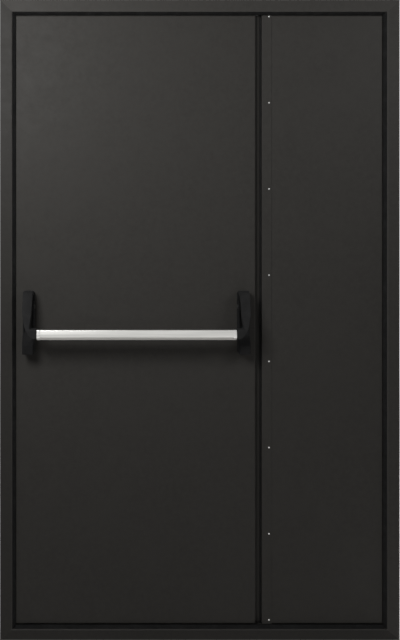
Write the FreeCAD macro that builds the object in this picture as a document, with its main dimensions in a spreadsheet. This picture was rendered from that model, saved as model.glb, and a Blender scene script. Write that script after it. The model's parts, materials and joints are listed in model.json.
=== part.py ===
"""Leaf-and-a-half steel utility door in a welded frame, with a push bar on the active leaf.

Millimetres. +Z is up, the room side faces -Y and both leaves open towards +Y. The origin is
on the underside of the sill, midway between the jambs and midway through the frame's depth.
"""
import FreeCAD, Part
import os
import re
import Sketcher

# Each driving size: its name, its value and what it measures.
SIZES = [
    ("frame_width", "1280", "overall width of the frame"),
    ("frame_height", "2050", "overall height of the frame"),
    ("frame_depth", "75", "depth of the frame through the wall"),
    ("face_width", "40", "sight width of the jambs and the head"),
    ("sill_face", "34", "height of the sill"),
    ("frame_sheet", "2", "sheet thickness of the frame"),
    ("frame_bend", "4", "outside bend radius of the frame"),
    ("least_bend", "0.2", "smallest inside bend radius of any folded sheet"),
    ("wall_return", "14", "width of the frame's returns against the wall"),
    ("anchor_radius", "5.5", "radius of a wall anchor hole"),
    ("anchor_count", "4", "number of anchor holes in a jamb"),
    ("anchor_first", "225", "height of the lowest anchor hole"),
    ("anchor_last", "235", "highest anchor hole below the top of the frame"),
    ("anchor_setback", "6", "anchor holes behind the middle of the frame's depth"),
    ("leaf_recess", "18", "leaf face behind the frame's room face"),
    ("leaf_gap", "6", "gap between a leaf's edge and the frame"),
    ("skin_sheet", "1.5", "sheet thickness of the leaf skins"),
    ("skin_bend", "6", "outside bend radius of the leaf skins"),
    ("lip_cover", "16", "how far a leaf's outer lip covers the frame"),
    ("lip_gap", "5", "gap between the frame and a leaf's outer lip"),
    ("hem_width", "12", "width of the folded hem on an outer lip"),
    ("active_width", "776.5", "width of the active leaf's room face"),
    ("rebate_width", "10.5", "rebate flange past the active leaf's room face"),
    ("rebate_depth", "12", "rebate flange behind the active leaf's room face"),
    ("stile_lip", "4.3", "lip of the rebate flange past the active leaf's edge"),
    ("seam_gap", "8", "gap between the leaves on the room side"),
    ("seam_outer_gap", "7.8", "gap between the outer skins"),
    ("cover_width", "31.5", "face width of the meeting cover angle"),
    ("cover_bend", "2.5", "outside bend radius of the cover angle"),
    ("cover_trim", "2", "cover angle short of the seals at its ends"),
    ("seal_gap", "0.3", "clearance between a seal and what closes on it"),
    ("stop_seal_depth", "13.5", "depth of the stop seals on the reveals"),
    ("stop_seal_nose", "4", "thickness of a stop seal at its nose"),
    ("stop_seal_side", "8.5", "width of the stop seals on the jambs"),
    ("stop_seal_level", "6.5", "height of the stop seals on the head and the sill"),
    ("lip_seal_width", "9", "width of the seals under the outer lips"),
    ("lip_seal_inset", "3", "seals under the lips in from the frame's reveal"),
    ("lip_seal_round", "3", "edge radius of the seals under the lips"),
    ("meeting_seal_reach", "1.1", "how far the meeting seal stands out of the passive edge"),
    ("meeting_seal_round", "0.5", "edge radius of the meeting seal"),
    ("meeting_seal_width", "9", "width of the meeting seal"),
    ("meeting_seal_inset", "3", "meeting seal in from the outer skin"),
    ("hinge_inset", "11.5", "hinge axis in from the frame's side"),
    ("hinge_standoff", "14.5", "hinge axis in front of the frame's outer face"),
    ("hinge_radius", "9", "radius of a hinge knuckle"),
    ("hinge_half", "62", "length of one hinge knuckle"),
    ("hinge_pin_radius", "5.5", "radius of a hinge pin"),
    ("hinge_pin_reach", "48", "how far a hinge pin stands into the leaf knuckle"),
    ("hinge_play", "0.08", "radial play of a hinge pin"),
    ("hinge_end_gap", "1", "room past the end of a hinge pin"),
    ("hinge_bearing", "0.4", "gap between the two knuckles of a hinge"),
    ("hinge_cap", "3", "height of the cap at the end of a knuckle"),
    ("hinge_cap_step", "2", "cap of a knuckle in from its side"),
    ("hinge_foot", "12", "width of the foot that carries a frame knuckle"),
    ("hinge_wing", "34", "hinge wing from the axis over the leaf"),
    ("hinge_wing_sheet", "4", "thickness of a hinge wing"),
    ("hinge_wing_round", "10", "corner radius of a hinge wing"),
    ("hinge_low", "240", "height of the lower hinges"),
    ("hinge_drop", "360", "upper hinges below the top of the frame"),
    ("forend_width", "22", "width of the lock forend"),
    ("forend_length", "235", "length of the lock forend"),
    ("forend_sheet", "3", "thickness of the lock forend"),
    ("forend_height", "990", "middle of the lock forend"),
    ("forend_play", "0.3", "gap round the forend, the latch and the strike"),
    ("latch_width", "12", "width of the latch opening"),
    ("latch_length", "34", "length of the latch opening"),
    ("strike_length", "170", "length of the strike plate"),
    ("flush_bolt_width", "18", "width of a flush bolt's plate"),
    ("flush_bolt_length", "150", "length of a flush bolt's plate"),
    ("flush_bolt_inset", "220", "middle of a flush bolt from the end of the leaf"),
    ("lever_width", "8", "width of a flush bolt's lever"),
    ("lever_length", "56", "length of a flush bolt's lever"),
    ("lever_gap", "1.5", "slot round a flush bolt's lever"),
    ("left_backset", "47", "middle of the left case from the active leaf's hinge edge"),
    ("right_backset", "43", "middle of the right case from the active leaf's meeting edge"),
    ("case_width", "36", "width of a case"),
    ("case_bottom", "920", "height of a case's lower end"),
    ("case_length", "195", "length of a case"),
    ("case_plate", "8", "thickness of a case's back plate"),
    ("case_corner", "8", "corner radius at the top of a case's back plate"),
    ("case_depth", "50", "depth of a case's lower housing"),
    ("case_round", "5", "edge radius of a case's lower housing"),
    ("housing_length", "28", "straight length of the lower housing"),
    ("housing_slope", "65", "length of the sloping top of the lower housing"),
    ("cheek_sheet", "4.5", "thickness of the walls that carry a pivot pin"),
    ("cheek_reach", "28", "walls of a case in front of the leaf face"),
    ("cheek_radius", "16", "radius of a wall's ear about the pivot"),
    ("pivot_drop", "47", "pivot below the top of a case"),
    ("pivot_standoff", "20", "pivot in front of the leaf face"),
    ("pivot_radius", "4", "radius of a pivot pin"),
    ("pivot_play", "0.08", "radial play of a pivot pin in its arm"),
    ("pivot_head", "8", "radius of a pivot pin's head"),
    ("pivot_head_sheet", "2", "thickness of a pivot pin's head"),
    ("hub_radius", "11", "radius of an arm's hub"),
    ("hub_play", "0.5", "gap between an arm's hub and a wall"),
    ("neck_height", "16", "height of the neck between a hub and its arm"),
    ("neck_width", "20", "width of the neck between a hub and its arm"),
    ("arm_clearance", "5", "gap between the back of an arm and a wall's ear"),
    ("arm_top", "50", "arm above the pivot"),
    ("arm_roof", "14", "thickness of an arm's roof over the pivot"),
    ("arm_roof_gap", "6", "gap between an arm's roof and the back plate"),
    ("arm_crown", "5", "depth of an arm at its top"),
    ("arm_depth", "22", "depth of an arm at its waist"),
    ("arm_waist", "20", "waist of an arm below the pivot"),
    ("arm_bend_drop", "7", "bends in the back of an arm below those in its front"),
    ("arm_round", "4", "small edge radius of an arm"),
    ("crown_round", "16", "radius of an arm's crown, nape and brow"),
    ("sweep_round", "45", "radius of an arm's sweep out to the bar"),
    ("arm_width", "32", "width of an arm at its top"),
    ("arm_taper", "5.5", "narrowing of an arm on the side of the bar"),
    ("arm_shoulder", "21", "outer edge of an arm turns in, below the pivot"),
    ("arm_shoulder_round", "40", "radius where an arm's outer edge turns in"),
    ("arm_heel", "10", "corner of an arm's elbow in from the middle of its case"),
    ("arm_elbow", "23", "radius of an arm's outer elbow"),
    ("arm_reach", "33.5", "middle of a case to the end of the bar"),
    ("nose_lap", "1.5", "arm past the bar's section at its end"),
    ("bar_standoff", "90", "middle of the bar in front of the leaf face"),
    ("bar_drop", "77.5", "middle of the bar below the pivot"),
    ("bar_height", "32", "height of the bar"),
    ("bar_depth", "20", "depth of the bar"),
    ("bar_lean", "3", "top of the bar's front behind its middle"),
    ("bar_facet", "10", "height of the bar's lower facet"),
    ("bar_round", "3", "corner radius of the bar"),
    ("bar_belly", "60", "radius across the middle of the bar's front"),
    ("bar_wall", "2", "wall thickness of the bar"),
    ("collar_length", "11", "length of a collar at the end of the bar"),
    ("collar_proud", "0.5", "collar proud of the bar all round"),
]
NAMES = {name for name, _, _ in SIZES}

# Places worked out from the sizes, as expressions.
ROOM_FACE = "(-frame_depth / 2)"
OUTER_FACE = "(frame_depth / 2)"
REVEAL = "(frame_width / 2 - face_width)"
HEAD_REVEAL = "(frame_height - face_width)"
LEAF_FACE = f"({ROOM_FACE} + leaf_recess)"
LEAF_LOW = "(sill_face + leaf_gap)"
LEAF_HIGH = f"({HEAD_REVEAL} - leaf_gap)"
LIP_FACE = f"({OUTER_FACE} + lip_gap)"
SKIN_FACE = f"({LIP_FACE} + skin_sheet)"
LEAF_DEPTH = f"({SKIN_FACE} - {LEAF_FACE})"
LIP_LOW = "(sill_face - lip_cover)"
LIP_HIGH = f"({HEAD_REVEAL} + lip_cover)"
LIP_SIDE = f"({REVEAL} + lip_cover)"
ACTIVE_HINGE_EDGE = f"(-{REVEAL} + leaf_gap)"
ACTIVE_EDGE = f"({ACTIVE_HINGE_EDGE} + active_width)"
LATCH_EDGE = f"({ACTIVE_EDGE} + rebate_width)"
REBATE_FACE = f"({LEAF_FACE} + rebate_depth)"
COVER_EDGE = f"({LATCH_EDGE} + seam_gap)"
COVER_LOW = "(sill_face + max(stop_seal_level; leaf_gap) + cover_trim)"
COVER_HIGH = f"({HEAD_REVEAL} - max(stop_seal_level; leaf_gap) - cover_trim)"
PASSIVE_EDGE = f"({COVER_EDGE} + skin_sheet)"
PASSIVE_HINGE_EDGE = f"({REVEAL} - leaf_gap)"
PASSIVE_LIP = f"({LATCH_EDGE} + seam_outer_gap)"
HINGE_X = "(frame_width / 2 - hinge_inset)"
HINGE_Y = f"({OUTER_FACE} + hinge_standoff)"
FOREND_Y = f"(({REBATE_FACE} + {SKIN_FACE}) / 2)"
LEFT_CASE = f"({ACTIVE_HINGE_EDGE} + left_backset)"
RIGHT_CASE = f"({ACTIVE_EDGE} - right_backset)"
CASE_TOP = "(case_bottom + case_length)"
HOUSING_BEND = "(case_bottom + housing_length)"
HOUSING_TOP = f"({HOUSING_BEND} + housing_slope)"
PIVOT_Y = f"({LEAF_FACE} - pivot_standoff)"
PIVOT_HEIGHT = f"({CASE_TOP} - pivot_drop)"
BAR_HEIGHT = f"({PIVOT_HEIGHT} - bar_drop)"

doc = FreeCAD.newDocument("steel_utility_door")
sheet = doc.addObject("Spreadsheet::Sheet", "Sizes")
finished = []


def fill_sheet():
    """Write every driving size into the sheet, with its name as the cell's alias."""
    for row, (name, value, meaning) in enumerate(SIZES, start=1):
        sheet.set(f"A{row}", meaning)
        sheet.set(f"B{row}", value)
        sheet.setAlias(f"B{row}", name)
    doc.recompute()


def bound(text):
    """Return an expression with each size's name pointing at its cell."""
    return re.sub(r"[a-z_]+", lambda word: f"Sizes.{word[0]}" if word[0] in NAMES else word[0], text)


def number(text):
    """Return the present value of an expression."""
    return float(sheet.evalExpression(bound(text)))


def bind(thing, prop, text):
    """Tie a property to an expression of the sizes."""
    thing.setExpression(prop, bound(text))


def room_side(distance):
    """Return the place that lies a distance in front of the leaf face."""
    return f"({LEAF_FACE} - ({distance}))"


def new_body(name):
    """Start a body named for its piece."""
    body = doc.addObject("PartDesign::Body", name)
    body.Label = name
    return body


def new_sketch(body, name, plane, offset="0"):
    """Attach an empty sketch to one of the body's own planes, moved along the plane's normal."""
    sketch = body.newObject("Sketcher::SketchObject", f"{body.Name}_{name}")
    support = next(item for item in body.Origin.OriginFeatures if item.Role == plane)
    sketch.AttachmentSupport = (support, [""])
    sketch.MapMode = "FlatFace"
    bind(sketch, "AttachmentOffset.Base.z", offset)
    return sketch


def pin_point(sketch, geometry, position, place):
    """Hold one point of a sketch at a place given as two expressions."""
    for kind, text in zip(("DistanceX", "DistanceY"), place):
        rule = Sketcher.Constraint(kind, -1, 1, geometry, position, number(text))
        index = sketch.addConstraint(rule)
        bind(sketch, f"Constraints[{index}]", text)


def add_outline(sketch, corners):
    """Draw a closed outline of straight sides through corners given as expressions."""
    places = [FreeCAD.Vector(number(across), number(up), 0) for across, up in corners]
    first = sketch.GeometryCount
    count = len(corners)
    for index in range(count):
        side = Part.LineSegment(places[index], places[(index + 1) % count])
        sketch.addGeometry(side, False)
    for index in range(count):
        following = first + (index + 1) % count
        sketch.addConstraint(Sketcher.Constraint("Coincident", first + index, 2, following, 1))
        pin_point(sketch, first + index, 1, corners[index])


def add_rectangle(sketch, left, right, low, high):
    """Draw a rectangle between four expressions."""
    add_outline(sketch, [(left, low), (right, low), (right, high), (left, high)])


def add_circle(sketch, across, up, radius):
    """Draw a circle about a place given as expressions."""
    middle = FreeCAD.Vector(number(across), number(up), 0)
    shape = Part.Circle(middle, FreeCAD.Vector(0, 0, 1), number(radius))
    index = sketch.addGeometry(shape, False)
    rule = sketch.addConstraint(Sketcher.Constraint("Radius", index, number(radius)))
    bind(sketch, f"Constraints[{rule}]", radius)
    pin_point(sketch, index, 3, (across, up))


def extrude(body, sketch, length, kind="Pad", symmetric=False, reverse=False):
    """Pad or pocket a sketch by a bound length."""
    sketch.recompute()
    feature = body.newObject(f"PartDesign::{kind}", f"{sketch.Name}_{kind.lower()}")
    feature.Profile = sketch
    feature.Type = "Length"
    feature.SideType = "Symmetric" if symmetric else "One side"
    feature.Reversed = reverse
    bind(feature, "Length", length)
    doc.recompute()
    return feature


def edges_along(shape, axis, places):
    """Name the straight edges that run along an axis through any of the given places."""
    others = [index for index in range(3) if index != "XYZ".index(axis)]
    wanted = [(number(first), number(second)) for first, second in places]
    names = []
    for index, edge in enumerate(shape.Edges, start=1):
        if edge.Curve.TypeId != "Part::GeomLine":
            continue
        ends = [vertex.Point for vertex in edge.Vertexes]
        for place in wanted:
            if all(abs(end[k] - at) < 0.01 for end in ends for k, at in zip(others, place)):
                names.append(f"Edge{index}")
    return names


def round_edges(body, name, axis, places, radius):
    """Fillet the edges of a body that run along an axis through the given places."""
    base = body.Tip
    fillet = body.newObject("PartDesign::Fillet", f"{body.Name}_{name}")
    fillet.Base = (base, edges_along(base.Shape, axis, places))
    bind(fillet, "Radius", radius)
    doc.recompute()
    return fillet


def cut_beyond(body, name, plane, start, end, before_corner):
    """Pocket away what lies on one side of the line between two places.

    The cut is a triangle whose long side runs one length past both ends of the line. Its third
    corner has the first coordinate of the end before the line, or else of the one after it.
    """
    before = tuple(f"(2 * ({first}) - ({last}))" for first, last in zip(start, end))
    after = tuple(f"(2 * ({last}) - ({first}))" for first, last in zip(start, end))
    corner = (before[0], after[1]) if before_corner else (after[0], before[1])
    sketch = new_sketch(body, name, plane)
    add_outline(sketch, [before, after, corner])
    extrude(body, sketch, "2 * frame_width", "Pocket", symmetric=True)


def finish(piece):
    """Keep a piece for writing under its own label."""
    finished.append(piece)
    return piece


# The welded frame.

INNER_BEND = "max(frame_bend - frame_sheet; least_bend)"


def channel(outer, inner, inward):
    """Return the corners of the frame's folded channel, open towards the wall.

    The pairs are (place across the sight face, place through the wall); inward is the
    direction from the wall to the opening, as a sign.
    """
    skin = f"{inward} * frame_sheet"
    front, back = ROOM_FACE, OUTER_FACE
    return [
        (outer, front),
        (inner, front),
        (inner, back),
        (outer, back),
        (outer, f"{back} - wall_return"),
        (f"{outer} + {skin}", f"{back} - wall_return"),
        (f"{outer} + {skin}", f"{back} - frame_sheet"),
        (f"{inner} - {skin}", f"{back} - frame_sheet"),
        (f"{inner} - {skin}", f"{front} + frame_sheet"),
        (f"{outer} + {skin}", f"{front} + frame_sheet"),
        (f"{outer} + {skin}", f"{front} + wall_return"),
        (outer, f"{front} + wall_return"),
    ]


OUTER_BENDS = slice(0, 4)
INNER_BENDS = slice(6, 10)


def mitre_line(side, level):
    """Return the two ends of a mitre: the frame's corner and the corner of its opening."""
    outer, inner = f"{side} * frame_width / 2", f"{side} * {REVEAL}"
    if level == "head":
        return (outer, "frame_height"), (inner, HEAD_REVEAL)
    return (outer, "0"), (inner, "sill_face")


def jamb(name, side):
    """Make one jamb, mitred to the head and the sill, with its row of anchor holes."""
    body = new_body(name)
    outer = f"({side} * frame_width / 2)"
    inner = f"({side} * {REVEAL})"
    corners = channel(outer, inner, -side)
    profile = new_sketch(body, "profile", "XY_Plane")
    add_outline(profile, corners)
    extrude(body, profile, "frame_height")
    round_edges(body, "outer_bends", "Z", corners[OUTER_BENDS], "frame_bend")
    round_edges(body, "inner_bends", "Z", corners[INNER_BENDS], INNER_BEND)
    for level in ("head", "sill"):
        cut_beyond(body, f"{level}_mitre", "XZ_Plane", *mitre_line(side, level), before_corner=False)
    holes = new_sketch(body, "anchor", "YZ_Plane")
    add_circle(holes, "anchor_setback", "anchor_first", "anchor_radius")
    hole = extrude(body, holes, "2 * frame_width", "Pocket", symmetric=True)
    row = body.newObject("PartDesign::LinearPattern", f"{name}_anchors")
    row.Originals = [hole]
    row.Direction = (holes, ["V_Axis"])
    row.Mode = "Spacing"
    bind(row, "Occurrences", "anchor_count")
    bind(row, "Offset", "(frame_height - anchor_first - anchor_last) / (anchor_count - 1)")
    body.Tip = row
    doc.recompute()
    return finish(body)


def head():
    """Make the head, a folded channel open upwards and mitred to both jambs."""
    body = new_body("head")
    corners = [(depth, up) for up, depth in channel("frame_height", HEAD_REVEAL, -1)]
    profile = new_sketch(body, "profile", "YZ_Plane")
    add_outline(profile, corners)
    extrude(body, profile, "frame_width", symmetric=True)
    round_edges(body, "outer_bends", "X", corners[OUTER_BENDS], "frame_bend")
    round_edges(body, "inner_bends", "X", corners[INNER_BENDS], INNER_BEND)
    mitre_member(body, "head")
    return finish(body)


def mitre_member(body, level):
    """Mitre both ends of a member that lies across the frame."""
    for end, side in (("left", -1), ("right", 1)):
        cut_beyond(body, f"{end}_mitre", "XZ_Plane", *mitre_line(side, level), before_corner=True)


def sill():
    """Make the sill, a closed box section mitred to both jambs."""
    body = new_body("sill")
    profile = new_sketch(body, "profile", "YZ_Plane")
    add_rectangle(profile, ROOM_FACE, OUTER_FACE, "0", "sill_face")
    inset = "frame_sheet"
    add_rectangle(
        profile, f"{ROOM_FACE} + {inset}", f"{OUTER_FACE} - {inset}", inset, f"sill_face - {inset}"
    )
    extrude(body, profile, "frame_width", symmetric=True)
    bends = [(depth, "sill_face") for depth in (ROOM_FACE, OUTER_FACE)]
    round_edges(body, "bends", "X", bends, "frame_bend")
    mitre_member(body, "sill")
    return finish(body)


# Seals.

STOP_BACK = f"({LEAF_FACE} - seal_gap)"
STOP_FRONT = f"({STOP_BACK} - stop_seal_depth)"


def stop_outline(reveal, nose):
    """Return a stop seal's wedge: (place off the reveal, place through the wall)."""
    return [
        (reveal, STOP_FRONT),
        (reveal, STOP_BACK),
        (nose, STOP_BACK),
        (nose, f"{STOP_BACK} - stop_seal_nose"),
    ]


def upright_stop_seal(name, side):
    """Make the stop seal on a jamb's reveal, from the sill to the head."""
    body = new_body(name)
    sketch = new_sketch(body, "profile", "XY_Plane", "sill_face")
    add_outline(sketch, stop_outline(f"{side} * {REVEAL}", f"{side} * ({REVEAL} - stop_seal_side)"))
    extrude(body, sketch, f"{HEAD_REVEAL} - sill_face")
    return finish(body)


def level_stop_seal(name, reveal, nose):
    """Make the stop seal on the head or the sill, between the two upright ones."""
    body = new_body(name)
    sketch = new_sketch(body, "profile", "YZ_Plane")
    add_outline(sketch, [(depth, up) for up, depth in stop_outline(reveal, nose)])
    extrude(body, sketch, f"2 * ({REVEAL} - stop_seal_side)", symmetric=True)
    return finish(body)


LIP_SEAL_TOP = f"({LIP_FACE} - seal_gap)"
LIP_SEAL_INNER = f"({REVEAL} + lip_seal_inset)"
LIP_SEAL_OUTER = f"({LIP_SEAL_INNER} + lip_seal_width)"
LIP_SEAL_LOW = "(sill_face - lip_seal_inset - lip_seal_width)"


def upright_lip_seal(name, side):
    """Make the seal between a jamb and a leaf's outer lip."""
    body = new_body(name)
    inner, outer = f"{side} * {LIP_SEAL_INNER}", f"{side} * {LIP_SEAL_OUTER}"
    sketch = new_sketch(body, "profile", "XY_Plane", LIP_SEAL_LOW)
    add_rectangle(sketch, inner, outer, OUTER_FACE, LIP_SEAL_TOP)
    extrude(body, sketch, f"{HEAD_REVEAL} + lip_seal_inset + lip_seal_width - {LIP_SEAL_LOW}")
    crown = [(inner, LIP_SEAL_TOP), (outer, LIP_SEAL_TOP)]
    round_edges(body, "crown", "Z", crown, "lip_seal_round")
    return finish(body)


def level_lip_seal(name, low):
    """Make the seal between the head or the sill and the leaves' outer lips."""
    body = new_body(name)
    high = f"{low} + lip_seal_width"
    sketch = new_sketch(body, "profile", "YZ_Plane")
    add_rectangle(sketch, OUTER_FACE, LIP_SEAL_TOP, low, high)
    extrude(body, sketch, f"2 * {LIP_SEAL_INNER}", symmetric=True)
    crown = [(LIP_SEAL_TOP, low), (LIP_SEAL_TOP, high)]
    round_edges(body, "crown", "X", crown, "lip_seal_round")
    return finish(body)


def meeting_seal():
    """Make the seal on the passive leaf's meeting edge, close behind the outer skins."""
    body = new_body("meeting_seal")
    back = f"({SKIN_FACE} - meeting_seal_inset)"
    front = f"({back} - meeting_seal_width)"
    nose = f"({COVER_EDGE} - meeting_seal_reach)"
    sketch = new_sketch(body, "profile", "XY_Plane", COVER_LOW)
    add_rectangle(sketch, nose, COVER_EDGE, front, back)
    extrude(body, sketch, f"{COVER_HIGH} - {COVER_LOW}")
    round_edges(body, "crown", "Z", [(nose, front), (nose, back)], "meeting_seal_round")
    return finish(body)


# The leaves.


def inner_skin(name, left, right):
    """Fold one leaf's room-side skin: a tray with its four edges turned back to the outer skin."""
    body = new_body(name)
    face = new_sketch(body, "face", "XZ_Plane", f"-{LEAF_FACE}")
    add_rectangle(face, left, right, LEAF_LOW, LEAF_HIGH)
    extrude(body, face, LEAF_DEPTH, reverse=True)
    hollow = new_sketch(body, "hollow", "XZ_Plane", f"-({LEAF_FACE} + skin_sheet)")
    add_rectangle(
        hollow,
        f"{left} + skin_sheet",
        f"{right} - skin_sheet",
        f"{LEAF_LOW} + skin_sheet",
        f"{LEAF_HIGH} - skin_sheet",
    )
    extrude(body, hollow, LEAF_DEPTH, "Pocket")
    soften_tray(body, left, right)
    return finish(body)


def soften_tray(body, left, right):
    """Round the four bends round a tray's face, outside and inside."""
    inner = "max(skin_bend - skin_sheet; least_bend)"
    for name, inset, radius in (("outside", "0", "skin_bend"), ("inside", "skin_sheet", inner)):
        depth = f"{LEAF_FACE} + {inset}"
        upright = [(f"{left} + {inset}", depth), (f"{right} - {inset}", depth)]
        level = [(depth, f"{LEAF_LOW} + {inset}"), (depth, f"{LEAF_HIGH} - {inset}")]
        base = body.Tip
        names = edges_along(base.Shape, "Z", upright) + edges_along(base.Shape, "X", level)
        fillet = body.newObject("PartDesign::Fillet", f"{body.Name}_{name}_bends")
        fillet.Base = (base, names)
        bind(fillet, "Radius", radius)
        doc.recompute()


def outer_skin(name, left, right, hinge_side):
    """Make one leaf's outer skin, with a hem folded in along its three lips."""
    body = new_body(name)
    face = new_sketch(body, "face", "XZ_Plane", f"-{SKIN_FACE}")
    add_rectangle(face, left, right, LIP_LOW, LIP_HIGH)
    extrude(body, face, "skin_sheet", reverse=True)
    edge, free = (left, right) if hinge_side < 0 else (right, left)
    inward = f"{edge} - ({hinge_side}) * hem_width"
    hem = new_sketch(body, "hem", "XZ_Plane", f"-{SKIN_FACE}")
    add_outline(
        hem,
        [
            (free, LIP_LOW),
            (edge, LIP_LOW),
            (edge, LIP_HIGH),
            (free, LIP_HIGH),
            (free, f"{LIP_HIGH} - hem_width"),
            (inward, f"{LIP_HIGH} - hem_width"),
            (inward, f"{LIP_LOW} + hem_width"),
            (free, f"{LIP_LOW} + hem_width"),
        ],
    )
    extrude(body, hem, "skin_sheet")
    return finish(body)


def meeting_stile():
    """Make the active leaf's rebated stile: a channel with a folded lip, open to the leaf."""
    body = new_body("active_meeting_stile")
    sketch = new_sketch(body, "profile", "XY_Plane", LEAF_LOW)
    web = f"{LATCH_EDGE} - skin_sheet"
    lip = f"({LATCH_EDGE} + stile_lip)"
    lip_back = f"({REBATE_FACE} + 2 * skin_sheet)"
    add_outline(
        sketch,
        [
            (ACTIVE_EDGE, REBATE_FACE),
            (lip, REBATE_FACE),
            (lip, lip_back),
            (LATCH_EDGE, lip_back),
            (LATCH_EDGE, SKIN_FACE),
            (ACTIVE_EDGE, SKIN_FACE),
            (ACTIVE_EDGE, f"{SKIN_FACE} - skin_sheet"),
            (web, f"{SKIN_FACE} - skin_sheet"),
            (web, f"{REBATE_FACE} + skin_sheet"),
            (ACTIVE_EDGE, f"{REBATE_FACE} + skin_sheet"),
        ],
    )
    extrude(body, sketch, f"{LEAF_HIGH} - {LEAF_LOW}")
    round_edges(body, "bend", "Z", [(lip, REBATE_FACE)], "skin_sheet")
    cut_edge_slot(body, "mortise", "forend_width", "forend_length", "forend_height")
    return finish(body)


def add_edge_rectangle(sketch, width, length, height):
    """Draw a rectangle about the middle of a leaf's upright edge, at a height."""
    add_rectangle(
        sketch,
        f"{FOREND_Y} - ({width}) / 2",
        f"{FOREND_Y} + ({width}) / 2",
        f"{height} - ({length}) / 2",
        f"{height} + ({length}) / 2",
    )


def cut_edge_slot(body, name, width, length, height):
    """Cut a clearance opening for a plate that lies flush in an upright edge of a leaf."""
    sketch = new_sketch(body, name, "YZ_Plane")
    add_edge_rectangle(sketch, f"{width} + 2 * forend_play", f"{length} + 2 * forend_play", height)
    extrude(body, sketch, "2 * frame_width", "Pocket", symmetric=True)


def edge_plate(name, start, thickness, length):
    """Make a plate with a latch opening, flush in an upright edge of a leaf."""
    body = new_body(name)
    sketch = new_sketch(body, "face", "YZ_Plane", start)
    add_edge_rectangle(sketch, "forend_width", length, "forend_height")
    opening = ("latch_width + 2 * forend_play", "latch_length + 2 * forend_play")
    add_edge_rectangle(sketch, *opening, "forend_height")
    extrude(body, sketch, thickness)
    return finish(body)


def latch_bolt():
    """Make the latch bolt, drawn back flush with the forend."""
    body = new_body("latch_bolt")
    sketch = new_sketch(body, "face", "YZ_Plane", f"{LATCH_EDGE} - 2 * forend_sheet")
    add_edge_rectangle(sketch, "latch_width", "latch_length", "forend_height")
    extrude(body, sketch, "2 * forend_sheet")
    return finish(body)


FLUSH_BOLTS = {
    "lower_flush_bolt": (f"({LEAF_LOW} + flush_bolt_inset)", 1),
    "upper_flush_bolt": (f"({LEAF_HIGH} - flush_bolt_inset)", -1),
}


def flush_bolt(name):
    """Make a flush bolt's plate, flush in the passive leaf's edge, with its lever in a slot.

    The slot runs round three sides of the lever, which hangs on the plate at its far end.
    """
    height, along = FLUSH_BOLTS[name]
    body = new_body(name)
    sketch = new_sketch(body, "face", "YZ_Plane", COVER_EDGE)
    add_edge_rectangle(sketch, "flush_bolt_width", "flush_bolt_length", height)
    root = f"{height} + {along} * lever_length / 2"
    tip = f"{height} - {along} * lever_length / 2"
    slot_end = f"{tip} - {along} * lever_gap"
    inside, outside = "lever_width / 2", "(lever_width / 2 + lever_gap)"
    add_outline(
        sketch,
        [
            (f"{FOREND_Y} - {outside}", root),
            (f"{FOREND_Y} - {outside}", slot_end),
            (f"{FOREND_Y} + {outside}", slot_end),
            (f"{FOREND_Y} + {outside}", root),
            (f"{FOREND_Y} + {inside}", root),
            (f"{FOREND_Y} + {inside}", tip),
            (f"{FOREND_Y} - {inside}", tip),
            (f"{FOREND_Y} - {inside}", root),
        ],
    )
    extrude(body, sketch, "skin_sheet")
    return finish(body)


def cover_angle():
    """Fold the passive leaf's cover angle: a strip on its room face that wraps its meeting edge."""
    body = new_body("meeting_cover")
    proud = f"({LEAF_FACE} - skin_sheet)"
    far = f"{COVER_EDGE} + cover_width"
    sketch = new_sketch(body, "profile", "XY_Plane", COVER_LOW)
    add_outline(
        sketch,
        [
            (COVER_EDGE, proud),
            (far, proud),
            (far, LEAF_FACE),
            (PASSIVE_EDGE, LEAF_FACE),
            (PASSIVE_EDGE, SKIN_FACE),
            (COVER_EDGE, SKIN_FACE),
        ],
    )
    extrude(body, sketch, f"{COVER_HIGH} - {COVER_LOW}")
    round_edges(body, "bend", "Z", [(COVER_EDGE, proud)], "cover_bend")
    cut_edge_slot(body, "strike_slot", "forend_width", "strike_length", "forend_height")
    for bolt, (height, _) in FLUSH_BOLTS.items():
        cut_edge_slot(body, f"{bolt}_slot", "flush_bolt_width", "flush_bolt_length", height)
    return finish(body)


# Hinges.


def hinge_frame_half(name, side, low):
    """Make a hinge's lower knuckle, on a foot welded to the frame, with its pin."""
    body = new_body(name)
    centre = f"{side} * {HINGE_X}"
    knuckle = new_sketch(body, "knuckle", "XY_Plane", low)
    add_circle(knuckle, centre, HINGE_Y, "hinge_radius")
    extrude(body, knuckle, "hinge_half")
    foot = new_sketch(body, "foot", "XY_Plane", low)
    add_rectangle(foot, f"{centre} - hinge_foot / 2", f"{centre} + hinge_foot / 2", OUTER_FACE, HINGE_Y)
    extrude(body, foot, "hinge_half")
    pin = new_sketch(body, "pin", "XY_Plane", low)
    add_circle(pin, centre, HINGE_Y, "hinge_pin_radius")
    extrude(body, pin, "hinge_half + hinge_pin_reach")
    cap = new_sketch(body, "cap", "XY_Plane", f"{low} - hinge_cap")
    add_circle(cap, centre, HINGE_Y, "hinge_radius - hinge_cap_step")
    extrude(body, cap, "hinge_cap")
    return finish(body)


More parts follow.
